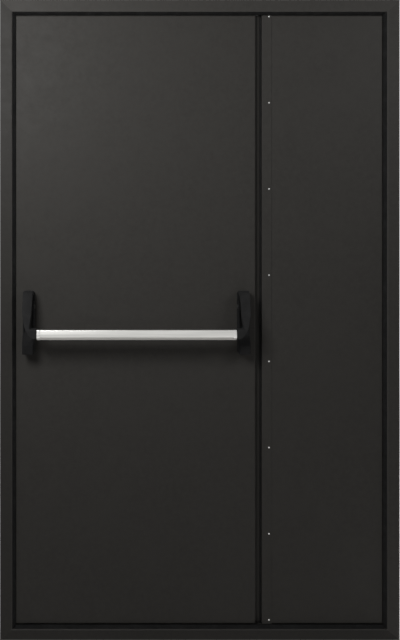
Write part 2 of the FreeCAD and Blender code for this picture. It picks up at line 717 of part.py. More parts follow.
def hinge_leaf_half(name, side, low):
    """Make a hinge's upper knuckle, bored for the pin, with its wing on the leaf's outer skin."""
    body = new_body(name)
    centre = f"{side} * {HINGE_X}"
    start = f"{low} + hinge_half + hinge_bearing"
    knuckle = new_sketch(body, "knuckle", "XY_Plane", start)
    add_circle(knuckle, centre, HINGE_Y, "hinge_radius")
    extrude(body, knuckle, "hinge_half")
    wing = new_sketch(body, "wing", "XY_Plane", start)
    skin = f"{SKIN_FACE} + skin_sheet"
    far = f"{centre} - ({side}) * hinge_wing"
    add_rectangle(wing, centre, far, skin, f"{skin} + hinge_wing_sheet")
    extrude(body, wing, "hinge_half")
    top = f"{start} + hinge_half"
    round_edges(body, "wing_corners", "Y", [(far, start), (far, top)], "hinge_wing_round")
    cap = new_sketch(body, "cap", "XY_Plane", top)
    add_circle(cap, centre, HINGE_Y, "hinge_radius - hinge_cap_step")
    extrude(body, cap, "hinge_cap")
    bore = new_sketch(body, "bore", "XY_Plane", start)
    add_circle(bore, centre, HINGE_Y, "hinge_pin_radius + hinge_play")
    extrude(body, bore, "hinge_pin_reach + hinge_end_gap", "Pocket", reverse=True)
    return finish(body)


# The push bar device.

ARM_BACK = "(pivot_standoff + cheek_radius + arm_clearance)"
NOSE_FRONT = "(bar_standoff + bar_depth / 2 + nose_lap)"
NOSE_BACK = "(bar_standoff - bar_depth / 2 - nose_lap)"
NOSE_TOP = f"({BAR_HEIGHT} + bar_height / 2 + nose_lap)"
NOSE_BOTTOM = f"({BAR_HEIGHT} - bar_height / 2 - nose_lap)"


def case_middle(side):
    """Return the place across the door of a case's middle."""
    return LEFT_CASE if side < 0 else RIGHT_CASE


def case(name, side):
    """Make a case: a rounded lower housing with a sloping top, a back plate and two walls."""
    body = new_body(name)
    middle = case_middle(side)
    left, right = f"{middle} - case_width / 2", f"{middle} + case_width / 2"
    front = room_side("case_depth")
    housing = new_sketch(body, "housing", "XY_Plane", "case_bottom")
    add_rectangle(housing, left, right, front, LEAF_FACE)
    extrude(body, housing, f"{HOUSING_TOP} - case_bottom")
    round_edges(body, "housing_corners", "Z", [(left, front), (right, front)], "case_round")
    slope = ((front, HOUSING_BEND), (room_side("case_plate"), HOUSING_TOP))
    cut_beyond(body, "slope", "YZ_Plane", *slope, before_corner=True)
    plate = new_sketch(body, "plate", "XZ_Plane", f"-{LEAF_FACE}")
    add_rectangle(plate, left, right, "case_bottom", CASE_TOP)
    extrude(body, plate, "case_plate")
    round_edges(body, "plate_corners", "Y", [(left, CASE_TOP), (right, CASE_TOP)], "case_corner")
    for end in (-1, 1):
        add_wall(body, "left" if end < 0 else "right", middle, end)
    bore = new_sketch(body, "pin_bore", "YZ_Plane", middle)
    add_circle(bore, PIVOT_Y, PIVOT_HEIGHT, "pivot_radius")
    extrude(body, bore, "2 * case_width", "Pocket", symmetric=True)
    return finish(body)


def add_wall(body, name, middle, end):
    """Add one wall of a case, from the housing up to a round ear about the pivot."""
    inner = f"{middle} + {end} * (case_width / 2 - cheek_sheet)"
    wall = new_sketch(body, f"{name}_wall", "YZ_Plane", inner)
    add_outline(
        wall,
        [
            (room_side("0"), HOUSING_BEND),
            (room_side("cheek_reach"), HOUSING_BEND),
            (room_side("cheek_reach"), PIVOT_HEIGHT),
            (PIVOT_Y, f"{PIVOT_HEIGHT} + cheek_radius"),
            (room_side("0"), f"{PIVOT_HEIGHT} + cheek_radius"),
        ],
    )
    extrude(body, wall, "cheek_sheet", reverse=end < 0)
    ear = new_sketch(body, f"{name}_ear", "YZ_Plane", inner)
    add_circle(ear, PIVOT_Y, PIVOT_HEIGHT, "cheek_radius")
    extrude(body, ear, "cheek_sheet", reverse=end < 0)


def pivot_pin(name, side):
    """Make a case's pivot pin, with a head outside each wall."""
    body = new_body(name)
    shank = new_sketch(body, "shank", "YZ_Plane", case_middle(side))
    add_circle(shank, PIVOT_Y, PIVOT_HEIGHT, "pivot_radius")
    extrude(body, shank, "case_width + 2 * pivot_head_sheet", symmetric=True)
    for end in (-1, 1):
        start = f"{case_middle(side)} + {end} * case_width / 2"
        rivet = new_sketch(body, "left_head" if end < 0 else "right_head", "YZ_Plane", start)
        add_circle(rivet, PIVOT_Y, PIVOT_HEIGHT, "pivot_head")
        extrude(body, rivet, "pivot_head_sheet", reverse=end < 0)
    return finish(body)


def arm_side_form(name):
    """Make the arm's form as seen from the side: a hood over the pivot that sweeps out to the bar."""
    body = new_body(f"{name}_side_form")
    over = f"({PIVOT_HEIGHT} + arm_top)"
    under = f"({over} - arm_roof)"
    waist = f"({PIVOT_HEIGHT} - arm_waist)"
    roof_end = "(case_plate + arm_roof_gap)"
    corners = {
        "roof_under": (roof_end, under),
        "roof_over": (roof_end, over),
        "crown": (f"{ARM_BACK} + arm_crown", over),
        "waist": (f"{ARM_BACK} + arm_depth", waist),
        "brow": (NOSE_FRONT, NOSE_TOP),
        "chin": (NOSE_FRONT, NOSE_BOTTOM),
        "heel": (NOSE_BACK, NOSE_BOTTOM),
        "rear_brow": (NOSE_BACK, f"{NOSE_TOP} - arm_bend_drop"),
        "rear_waist": (ARM_BACK, f"{waist} - arm_bend_drop"),
        "nape": (ARM_BACK, under),
    }
    places = {corner: (room_side(out), up) for corner, (out, up) in corners.items()}
    sketch = new_sketch(body, "outline", "YZ_Plane")
    add_outline(sketch, list(places.values()))
    extrude(body, sketch, "2 * frame_width", symmetric=True)
    for radius, rounded in (
        ("arm_round", ("roof_under", "roof_over", "chin", "heel")),
        ("crown_round", ("crown", "nape", "brow")),
        ("sweep_round", ("waist", "rear_waist", "rear_brow")),
    ):
        round_edges(body, radius, "X", [places[corner] for corner in rounded], radius)
    return body


def arm_front_form(name, side):
    """Make the arm's form as seen from the room: its outer edge turns in and sweeps round to the bar."""
    body = new_body(f"{name}_front_form")
    middle = case_middle(side)
    over = f"{PIVOT_HEIGHT} + arm_top"
    outer = f"{middle} + {side} * arm_width / 2"
    inner = f"{middle} - {side} * arm_width / 2"
    end = f"{middle} - {side} * arm_reach"
    crown = [(outer, over), (inner, over)]
    crotch = (f"{inner} + {side} * arm_taper", NOSE_TOP)
    elbow = (f"{middle} - {side} * arm_heel", NOSE_BOTTOM)
    shoulder = (outer, f"{PIVOT_HEIGHT} - arm_shoulder")
    sketch = new_sketch(body, "outline", "XZ_Plane")
    add_outline(sketch, [*crown, crotch, (end, NOSE_TOP), (end, NOSE_BOTTOM), elbow, shoulder])
    extrude(body, sketch, "8 * bar_standoff", symmetric=True)
    round_edges(body, "crown", "Y", [*crown, crotch], "arm_round")
    round_edges(body, "elbow", "Y", [elbow], "min(arm_elbow; arm_reach - arm_heel)")
    round_edges(body, "shoulder", "Y", [shoulder], "arm_shoulder_round")
    return body


def arm_hub(name, side):
    """Make the hub about the pivot pin, between the case's walls, with its neck out to the arm."""
    body = new_body(f"{name}_hub")
    barrel = new_sketch(body, "barrel", "YZ_Plane", case_middle(side))
    add_circle(barrel, PIVOT_Y, PIVOT_HEIGHT, "hub_radius")
    extrude(body, barrel, "case_width - 2 * (cheek_sheet + hub_play)", symmetric=True)
    neck = new_sketch(body, "neck", "YZ_Plane", case_middle(side))
    root = room_side(f"{ARM_BACK} + arm_crown")
    low, high = f"{PIVOT_HEIGHT} - neck_height / 2", f"{PIVOT_HEIGHT} + neck_height / 2"
    add_rectangle(neck, root, PIVOT_Y, low, high)
    extrude(body, neck, "neck_width", symmetric=True)
    return body


def arm(name, side):
    """Make an arm where its two forms meet, with a hub bored for the pivot pin."""
    blade = doc.addObject("Part::Common", f"{name}_blade")
    blade.Base = arm_side_form(name)
    blade.Tool = arm_front_form(name, side)
    joined = doc.addObject("Part::Fuse", f"{name}_joined")
    joined.Base = blade
    joined.Tool = arm_hub(name, side)
    bore = doc.addObject("Part::Cylinder", f"{name}_bore")
    bind(bore, "Radius", "pivot_radius + pivot_play")
    bind(bore, "Height", "2 * case_width")
    bore.Placement.Rotation = FreeCAD.Rotation(FreeCAD.Vector(0, 1, 0), 90)
    bind(bore, "Placement.Base.x", f"{case_middle(side)} - case_width")
    bind(bore, "Placement.Base.y", PIVOT_Y)
    bind(bore, "Placement.Base.z", PIVOT_HEIGHT)
    piece = doc.addObject("Part::Cut", name)
    piece.Label = name
    piece.Base = joined
    piece.Tool = bore
    doc.recompute()
    return finish(piece)


def bar_outline(inset):
    """Return the bar's section: a front that swells out downwards over a lower facet."""
    back = f"bar_standoff - bar_depth / 2 + {inset}"
    front = f"bar_standoff + bar_depth / 2 - {inset}"
    top = f"{BAR_HEIGHT} + bar_height / 2 - {inset}"
    bottom = f"{BAR_HEIGHT} - bar_height / 2 + {inset}"
    places = [
        (back, top),
        (f"{front} - bar_lean", top),
        (front, BAR_HEIGHT),
        (front, f"{bottom} + bar_facet"),
        (f"{front} - bar_facet", bottom),
        (back, bottom),
    ]
    return [(room_side(out), up) for out, up in places]


def round_bar(body, corners):
    """Round the corners of a bar's section, and its front across the middle."""
    back_top, front_top, belly, _, front_bottom, back_bottom = corners
    round_edges(body, "corners", "X", [back_top, front_top, front_bottom, back_bottom], "bar_round")
    round_edges(body, "belly", "X", [belly], "bar_belly")


def push_bar():
    """Extrude the hollow bar between the two collars."""
    body = new_body("push_bar")
    start = f"{LEFT_CASE} + arm_reach + collar_length"
    sketch = new_sketch(body, "section", "YZ_Plane", start)
    outline = bar_outline("0")
    add_outline(sketch, outline)
    add_outline(sketch, bar_outline("bar_wall"))
    extrude(body, sketch, f"{RIGHT_CASE} - {LEFT_CASE} - 2 * (arm_reach + collar_length)")
    round_bar(body, outline)
    return finish(body)


def bar_collar(name, side):
    """Make the collar between an arm and the end of the bar, a little proud of the bar."""
    body = new_body(name)
    sketch = new_sketch(body, "section", "YZ_Plane", f"{case_middle(side)} - {side} * arm_reach")
    outline = bar_outline("(-collar_proud)")
    add_outline(sketch, outline)
    extrude(body, sketch, "collar_length", reverse=side > 0)
    round_bar(body, outline)
    return finish(body)


def build():
    """Make every piece of the door."""
    fill_sheet()
    jamb("left_jamb", -1)
    jamb("right_jamb", 1)
    head()
    sill()
    upright_stop_seal("left_stop_seal", -1)
    upright_stop_seal("right_stop_seal", 1)
    level_stop_seal("head_stop_seal", HEAD_REVEAL, f"{HEAD_REVEAL} - stop_seal_level")
    level_stop_seal("sill_stop_seal", "sill_face", "sill_face + stop_seal_level")
    upright_lip_seal("left_lip_seal", -1)
    upright_lip_seal("right_lip_seal", 1)
    level_lip_seal("head_lip_seal", f"{HEAD_REVEAL} + lip_seal_inset")
    level_lip_seal("sill_lip_seal", LIP_SEAL_LOW)
    inner_skin("active_inner_skin", ACTIVE_HINGE_EDGE, ACTIVE_EDGE)
    outer_skin("active_outer_skin", f"-{LIP_SIDE}", LATCH_EDGE, -1)
    meeting_stile()
    meeting_seal()
    edge_plate("lock_forend", f"{LATCH_EDGE} - forend_sheet", "forend_sheet", "forend_length")
    latch_bolt()
    inner_skin("passive_inner_skin", PASSIVE_EDGE, PASSIVE_HINGE_EDGE)
    outer_skin("passive_outer_skin", PASSIVE_LIP, LIP_SIDE, 1)
    cover_angle()
    edge_plate("strike_plate", COVER_EDGE, "skin_sheet", "strike_length")
    for bolt in FLUSH_BOLTS:
        flush_bolt(bolt)
    for leaf, side in (("active", -1), ("passive", 1)):
        for level, low in (("lower", "hinge_low"), ("upper", "(frame_height - hinge_drop)")):
            hinge_frame_half(f"{leaf}_{level}_hinge_frame_half", side, low)
            hinge_leaf_half(f"{leaf}_{level}_hinge_leaf_half", side, low)
    for end, side in (("left", -1), ("right", 1)):
        case(f"{end}_case", side)
        pivot_pin(f"{end}_pivot_pin", side)
        arm(f"{end}_arm", side)
        bar_collar(f"{end}_bar_collar", side)
    push_bar()
    doc.recompute()


def check():
    """Stop if any object failed or any piece has no valid shape."""
    for thing in doc.Objects:
        if {"Invalid", "Error"} & set(thing.State):
            raise RuntimeError(f"{thing.Name} failed: {thing.State}")
    for piece in finished:
        if piece.Shape.isNull() or not piece.Shape.isValid():
            raise RuntimeError(f"{piece.Label} has no valid shape")


def write():
    """Write each piece to a file named for it."""
    os.makedirs("parts", exist_ok=True)
    for piece in finished:
        piece.Shape.exportStep(os.path.join("parts", f"{piece.Label}.step"))


build()
check()
write()
print(f"{len(finished)} pieces written")
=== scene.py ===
"""Looks of a leaf-and-a-half steel utility door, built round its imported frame.

Metres. +X is to the right seen from the room, -Y faces the room and +Z is up.
"""

import json
import logging
import math
from dataclasses import dataclass, replace
from enum import Enum
from typing import Callable, Sequence

import bpy
from mathutils import Matrix, Vector

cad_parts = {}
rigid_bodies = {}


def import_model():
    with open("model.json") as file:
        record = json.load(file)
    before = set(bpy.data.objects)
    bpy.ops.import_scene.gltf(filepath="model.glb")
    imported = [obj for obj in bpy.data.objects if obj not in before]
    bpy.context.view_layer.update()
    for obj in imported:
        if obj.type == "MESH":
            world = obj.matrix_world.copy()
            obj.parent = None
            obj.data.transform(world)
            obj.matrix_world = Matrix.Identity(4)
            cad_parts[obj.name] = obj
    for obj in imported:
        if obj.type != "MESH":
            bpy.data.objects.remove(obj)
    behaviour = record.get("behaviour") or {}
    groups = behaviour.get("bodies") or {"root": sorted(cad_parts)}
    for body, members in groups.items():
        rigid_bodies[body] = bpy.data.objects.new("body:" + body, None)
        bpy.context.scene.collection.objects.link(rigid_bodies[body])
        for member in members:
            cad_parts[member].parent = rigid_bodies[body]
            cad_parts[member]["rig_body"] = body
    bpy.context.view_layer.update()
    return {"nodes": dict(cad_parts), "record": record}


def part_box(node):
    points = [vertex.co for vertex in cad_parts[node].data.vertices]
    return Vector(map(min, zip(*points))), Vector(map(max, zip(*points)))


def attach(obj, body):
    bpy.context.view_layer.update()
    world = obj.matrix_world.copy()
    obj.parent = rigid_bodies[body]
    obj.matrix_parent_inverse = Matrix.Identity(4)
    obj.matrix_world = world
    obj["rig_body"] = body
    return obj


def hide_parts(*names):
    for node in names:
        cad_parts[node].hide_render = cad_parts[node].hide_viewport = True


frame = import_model()

logging.basicConfig(level=logging.INFO, format="%(name)s: %(message)s")
log = logging.getLogger("door")

Colour = tuple[float, float, float]
Point = tuple[float, float, float]
Span = tuple[float, float]
Socket = bpy.types.NodeSocket

BLACK: Colour = (0.0, 0.0, 0.0)
WHITE: Colour = (1.0, 1.0, 1.0)

# Factors along the axes that leave a pattern even, or draw it out into lines.
EVEN: Point = (1.0, 1.0, 1.0)
ALONG_BAR: Point = (0.01, 1.0, 1.0)
ALONG_PLATE: Point = (1.0, 1.0, 0.03)


class Body(Enum):
    """The bodies that new pieces ride on."""

    ACTIVE = "active_leaf"
    PASSIVE = "passive_leaf"


class Slot(Enum):
    """The record's material slots."""

    FRAME_PAINT = "frame_paint"
    LEAF_PAINT = "leaf_paint"
    HINGE_PAINT = "hinge_paint"
    SEAL_RUBBER = "seal_rubber"
    CASE_BLACK = "case_black"
    ARM_BLACK = "arm_black"
    BAR_ALUMINIUM = "bar_aluminium"
    COLLAR_ALUMINIUM = "collar_aluminium"
    LOCK_STEEL = "lock_steel"
    PIVOT_STEEL = "pivot_steel"


class Facing(Enum):
    """The directions that screw heads face."""

    ROOM = (0.0, -1.0, 0.0)
    LEFT = (-1.0, 0.0, 0.0)
    RIGHT = (1.0, 0.0, 0.0)


class Side(Enum):
    """The ends of the push bar, each with its sign along X."""

    LEFT = -1
    RIGHT = 1


@dataclass(frozen=True)
class Noise:
    """A noise pattern: its waves per metre, its finer octaves and its factor along each axis."""

    waves: float
    octaves: float
    stretch: Point = EVEN


def tint(colour: Colour, factor: float) -> Colour:
    """Make a colour lighter or darker by a factor, up to white."""
    return tuple(min(1.0, factor * part) for part in colour)


class Graph:
    """A material's node tree, put together in small steps."""

    # Part of a noise's values over which a pattern comes in, unless a finish says otherwise.
    MIDDLE: Span = (0.3, 0.7)
    # Cosine of the turn at an edge, where it is fully worn and where wear ends.
    EDGE_TURN: Span = (0.8, 0.995)
    EDGE_PATCHES: Span = (0.35, 0.65)
    EDGE_SAMPLES = 4
    # Part of the normal along X, where a surface faces left and where it no longer does.
    LEFT_TURN: Span = (-0.95, -0.6)
    # Brings the product of two shares of one whole, a quarter at most, up to 1.
    BEND_PEAK = 4.0

    def __init__(self, name: str) -> None:
        """Start a material.

        Args:
            name: Name of the material.
        """
        self.material = bpy.data.materials.new(name)
        self.material.use_nodes = True
        self.tree = self.material.node_tree
        self.shader = self.tree.nodes["Principled BSDF"]

    def add(self, kind: str, **values: object) -> bpy.types.ShaderNode:
        """Add a node.

        Args:
            kind: Type of the node, without its common prefix.
            values: Properties to set on the node.

        Returns:
            The new node.
        """
        node = self.tree.nodes.new(f"ShaderNode{kind}")
        for key, value in values.items():
            setattr(node, key, value)
        return node

    def feed(self, node: bpy.types.ShaderNode, **inputs: object) -> None:
        """Set or link the inputs of a node.

        Args:
            node: The node to feed.
            inputs: A value or an output for each input, named in lower case with underscores.
        """
        shown = [socket for socket in node.inputs if socket.enabled]
        named = {socket.name.lower().replace(" ", "_"): socket for socket in shown}
        for key, value in inputs.items():
            if isinstance(value, Socket):
                self.tree.links.new(value, named[key])
            else:
                named[key].default_value = value

    def place(self, stretch: Point = EVEN) -> Socket:
        """Give the place on the object, in metres.

        Args:
            stretch: Factor along each axis.

        Returns:
            The output that holds the place.
        """
        mapping = self.add("Mapping")
        self.feed(mapping, vector=self.add("TexCoord").outputs["Object"], scale=stretch)
        return mapping.outputs["Vector"]

    def noise(self, pattern: Noise) -> Socket:
        """Add a noise pattern.

        Args:
            pattern: The pattern.

        Returns:
            The pattern's value, from 0 to 1.
        """
        node = self.add("TexNoise")
        place = self.place(pattern.stretch)
        self.feed(node, vector=place, scale=pattern.waves, detail=pattern.octaves)
        return node.outputs["Fac"]

    def spread(self, value: Socket, low: float, high: float, reach: Span = MIDDLE) -> Socket:
        """Map a pattern onto a range.

        Args:
            value: The pattern.
            low: Result at the start of the reach.
            high: Result at the end of the reach.
            reach: Values of the pattern that give the low and the high result.

        Returns:
            The mapped value.
        """
        node = self.add("MapRange")
        start, end = reach
        self.feed(node, value=value, from_min=start, from_max=end, to_min=low, to_max=high)
        return node.outputs["Result"]

    def vary(self, value: Socket, middle: float, play: Span) -> Socket:
        """Let a pattern move a value a little below and above its middle."""
        return self.spread(value, middle + play[0], middle + play[1])

    def blend(self, factor: Socket, first: Colour | Socket, second: Colour | Socket) -> Socket:
        """Mix two colours.

        Args:
            factor: Share of the second colour.
            first: Colour, or an output that gives one.
            second: Colour, or an output that gives one.

        Returns:
            The mixed colour.
        """
        node = self.add("Mix", data_type="RGBA")
        pair = [item if isinstance(item, Socket) else (*item, 1.0) for item in (first, second)]
        self.feed(node, factor=factor, a=pair[0], b=pair[1])
        return next(socket for socket in node.outputs if socket.enabled)

    def mottle(
        self,
        ground: Colour | Socket,
        patches: Colour,
        pattern: Noise,
        share: float = 1.0,
        reach: Span = MIDDLE,
    ) -> Socket:
        """Mix a second colour into the first in patches.

        Args:
            ground: Colour between the patches, or an output that gives one.
            patches: Colour of the patches.
            pattern: Noise that makes the patches.
            share: Share of their colour in the middle of the patches.
            reach: Values of the noise where the patches begin and where they are full.

        Returns:
            The mixed colour.
        """
        factor = self.spread(self.noise(pattern), 0.0, share, reach)
        return self.blend(factor, ground, patches)

    def bump(
        self, height: Socket, distance: float, strength: float = 1.0, normal: Socket | None = None
    ) -> Socket:
        """Turn a pattern into relief.

        Args:
            height: The pattern.
            distance: Height of the relief in metres.
            strength: Share of the relief that shows.
            normal: Relief underneath.

        Returns:
            The normal.
        """
        node = self.add("Bump")
        self.feed(node, height=height, distance=distance, strength=strength)
        if normal is not None:
            self.feed(node, normal=normal)
        return node.outputs["Normal"]

    def edges(self, radius: float, breaks: Noise) -> Socket:
        """Find the edges, broken up by noise.

        Args:
            radius: Width of an edge in metres.
            breaks: The noise.

        Returns:
            A mask, 1 on worn edges.
        """
        rounded = self.add("Bevel", samples=self.EDGE_SAMPLES)
        self.feed(rounded, radius=radius)
        turn = self.add("VectorMath", operation="DOT_PRODUCT")
        self.tree.links.new(rounded.outputs["Normal"], turn.inputs[0])
        self.tree.links.new(self.add("NewGeometry").outputs["Normal"], turn.inputs[1])
        sharp = self.spread(turn.outputs["Value"], 1.0, 0.0, self.EDGE_TURN)
        patches = self.spread(self.noise(breaks), 0.0, 1.0, self.EDGE_PATCHES)
        return self.reckon("MULTIPLY", sharp, patches)

    def bends(self) -> Socket:
        """Find the rounded bends between the room face and the sides.

        Returns:
            A mask, 1 where the surface leans halfway.
        """
        depth = self.normal_part("Y")
        square = self.reckon("MULTIPLY", depth, depth)
        rest = self.reckon("SUBTRACT", 1.0, square)
        return self.reckon("MULTIPLY", self.reckon("MULTIPLY", square, rest), self.BEND_PEAK)

    def facing_left(self) -> Socket:
        """Give a mask of the surfaces that face -X, such as the passive leaf's meeting edge."""
        return self.spread(self.normal_part("X"), 1.0, 0.0, self.LEFT_TURN)

    def normal_part(self, axis: str) -> Socket:
        """Give one part of the surface's direction.

        Args:
            axis: Name of the axis.

        Returns:
            The part along that axis.
        """
        parts = self.add("SeparateXYZ")
        self.feed(parts, vector=self.add("TexCoord").outputs["Normal"])
        return parts.outputs[axis]

    def reckon(self, operation: str, first: float | Socket, second: float | Socket) -> Socket:
        """Work out a value from two others.

        Args:
            operation: Name of the operation.
            first: Value, or an output that gives one.
            second: Value, or an output that gives one.

        Returns:
            The result.
        """
        node = self.add("Math", operation=operation)
        for socket, value in zip(node.inputs, (first, second)):
            if isinstance(value, Socket):
                self.tree.links.new(value, socket)
            else:
                socket.default_value = value
        return node.outputs["Value"]

    def shade(self, **inputs: object) -> bpy.types.Material:
        """Feed the shader's inputs and give the finished material."""
        self.feed(self.shader, **inputs)
        return self.material


@dataclass(frozen=True)
class PowderCoat:
    """A baked coat with a fine grain on folded sheet.

    The bends can have a share of the worn colour as a painted highlight, and the surfaces that
    face left a share of painted shade in a darker tone.
    """

    name: str
    colour: Colour
    # Share of the worn colour painted onto the bends as a highlight where light catches them.
    painted_bend_highlight: float = 0.0
    # Share of painted shade on the surfaces that face left, such as the sides in the meeting
    # seam.
    painted_shade_facing_left: float = 0.0
    darker: float = 0.9
    lighter: float = 1.1
    # Share of the colour left in that painted shade.
    left_shade_darker: float = 0.25
    # Colour of worn edges, also used for the painted highlight on the bends.
    worn: Colour = (0.085, 0.082, 0.078)
    clouds: Noise = Noise(3.0, 5.0)
    blotches: Noise = Noise(16.0, 2.0)
    blotch_share: float = 0.85
    flecks: Noise = Noise(75.0, 3.0)
    grain: Noise = Noise(900.0, 1.0)
    grain_share: float = 0.35
    edge: float = 0.0012
    edge_breaks: Noise = Noise(60.0, 4.0)
    sheet: Noise = Noise(2.2, 1.0)
    sheet_wave: float = 0.0006
    grain_relief: Noise = Noise(900.0, 2.0)
    grain_height: float = 0.00006
    grain_strength: float = 0.6
    roughness: float = 0.5
    roughness_play: Span = (-0.05, 0.05)
    roughness_patches: Noise = Noise(25.0, 4.0)
    sheen: float = 0.08

    def build(self) -> bpy.types.Material:
        """Make the material.

        Returns:
            The material.
        """
        graph = Graph(self.name)
        dark = tint(self.colour, self.darker)
        light = tint(self.colour, self.lighter)
        coat = graph.mottle(dark, light, self.clouds)
        coat = graph.mottle(coat, dark, self.blotches, self.blotch_share)
        coat = graph.mottle(coat, light, self.flecks)
        coat = graph.mottle(coat, light, self.grain, self.grain_share)
        coat = graph.blend(graph.edges(self.edge, self.edge_breaks), coat, self.worn)
        # Painted highlight on the rounded bends.
        if self.painted_bend_highlight:
            lit = graph.reckon("MULTIPLY", graph.bends(), self.painted_bend_highlight)
            coat = graph.blend(lit, coat, self.worn)
        # Painted shade on the surfaces that face left.
        if self.painted_shade_facing_left:
            left_shade_mask = graph.reckon("MULTIPLY", graph.facing_left(), self.painted_shade_facing_left)
            coat = graph.blend(left_shade_mask, coat, tint(self.colour, self.left_shade_darker))
        wave = graph.bump(graph.noise(self.sheet), self.sheet_wave)
        grains = graph.noise(self.grain_relief)
        relief = graph.bump(grains, self.grain_height, self.grain_strength, wave)
        patches = graph.noise(self.roughness_patches)
        rough = graph.vary(patches, self.roughness, self.roughness_play)
        return graph.shade(
            base_color=coat, roughness=rough, normal=relief, specular_ior_level=self.sheen
        )


@dataclass(frozen=True)
class CastBlack:
    """A satin black coat on a casting or a moulding."""

    name: str
    colour: Colour
    roughness: float
    sheen: float
    dustier: float = 1.35
    worn: Colour = (0.022, 0.022, 0.022)
    dust: Noise = Noise(14.0, 5.0)
    edge: float = 0.0012
    edge_breaks: Noise = Noise(90.0, 4.0)
    grain: Noise = Noise(1400.0, 3.0)
    grain_height: float = 0.00005
    grain_strength: float = 0.6
    roughness_play: Span = (-0.06, 0.06)
    roughness_patches: Noise = Noise(40.0, 4.0)

    def build(self) -> bpy.types.Material:
        """Make the material.

        Returns:
            The material.
        """
        graph = Graph(self.name)
        coat = graph.mottle(self.colour, tint(self.colour, self.dustier), self.dust)
        coat = graph.blend(graph.edges(self.edge, self.edge_breaks), coat, self.worn)
        relief = graph.bump(graph.noise(self.grain), self.grain_height, self.grain_strength)
        patches = graph.noise(self.roughness_patches)
        rough = graph.vary(patches, self.roughness, self.roughness_play)
        return graph.shade(
            base_color=coat, roughness=rough, normal=relief, specular_ior_level=self.sheen
        )


@dataclass(frozen=True)
class DrawnAluminium:
    """Anodised aluminium with fine lines along the bar."""

    name: str
    colour: Colour
    roughness: float = 0.34
    duller: float = 0.86
    lines: Noise = Noise(700.0, 3.0, ALONG_BAR)
    line_height: float = 0.00003
    line_strength: float = 0.5
    smudges: Noise = Noise(9.0, 4.0)
    smudge_share: float = 0.3
    roughness_play: Span = (-0.06, 0.08)
    roughness_lines: Noise = Noise(350.0, 3.0, ALONG_BAR)

    def build(self) -> bpy.types.Material:
        """Make the material.

        Returns:
            The material.
        """
        graph = Graph(self.name)
        streaks = graph.noise(self.lines)
        dull = tint(self.colour, self.duller)
        metal = graph.blend(graph.spread(streaks, 0.0, 1.0), dull, self.colour)
        metal = graph.mottle(metal, dull, self.smudges, self.smudge_share)
        relief = graph.bump(streaks, self.line_height, self.line_strength)
        lines = graph.noise(self.roughness_lines)
        rough = graph.vary(lines, self.roughness, self.roughness_play)
        return graph.shade(base_color=metal, metallic=1.0, roughness=rough, normal=relief)


@dataclass(frozen=True)
class PlatedSteel:
    """Steel with a thin plating, brushed along its length."""

    name: str
    colour: Colour
    roughness: float = 0.32
    duller: float = 0.7
    brighter: float = 1.3
    stains: Noise = Noise(60.0, 5.0)
    stain_share: float = 0.6
    edge: float = 0.0006
    edge_breaks: Noise = Noise(200.0, 4.0)
    lines: Noise = Noise(1200.0, 3.0, ALONG_PLATE)
    line_height: float = 0.00002
    line_strength: float = 0.5
    roughness_play: Span = (-0.07, 0.1)

    def build(self) -> bpy.types.Material:
        """Make the material.

        Returns:
            The material.
        """
        graph = Graph(self.name)
        streaks = graph.noise(self.lines)
        dull = tint(self.colour, self.duller)
        bright = tint(self.colour, self.brighter)
        metal = graph.mottle(self.colour, dull, self.stains, self.stain_share)
        metal = graph.blend(graph.edges(self.edge, self.edge_breaks), metal, bright)
        relief = graph.bump(streaks, self.line_height, self.line_strength)
        rough = graph.vary(streaks, self.roughness, self.roughness_play)
        return graph.shade(base_color=metal, metallic=1.0, roughness=rough, normal=relief)


@dataclass(frozen=True)
class Rubber:
    """Matt seal rubber with a little dust."""

    name: str
    colour: Colour
    roughness: float = 0.75
    dustier: float = 2.2
    dust: Noise = Noise(35.0, 5.0)
    dust_share: float = 0.8
    dust_reach: Span = (0.45, 0.75)
    edge: float = 0.0008
    edge_breaks: Noise = Noise(70.0, 4.0)
    grain: Noise = Noise(600.0, 3.0)
    grain_height: float = 0.0001
    grain_strength: float = 0.5
    roughness_play: Span = (-0.08, 0.08)
    roughness_patches: Noise = Noise(50.0, 3.0)
    sheen: float = 0.1

    def build(self) -> bpy.types.Material:
        """Make the material.

        Returns:
            The material.
        """
        graph = Graph(self.name)
        dusty = tint(self.colour, self.dustier)
        skin = graph.mottle(self.colour, dusty, self.dust, self.dust_share, self.dust_reach)
        skin = graph.blend(graph.edges(self.edge, self.edge_breaks), skin, dusty)
        relief = graph.bump(graph.noise(self.grain), self.grain_height, self.grain_strength)
        patches = graph.noise(self.roughness_patches)
        rough = graph.vary(patches, self.roughness, self.roughness_play)
        return graph.shade(
            base_color=skin, roughness=rough, normal=relief, specular_ior_level=self.sheen
        )


Finish = PowderCoat | CastBlack | DrawnAluminium | PlatedSteel | Rubber

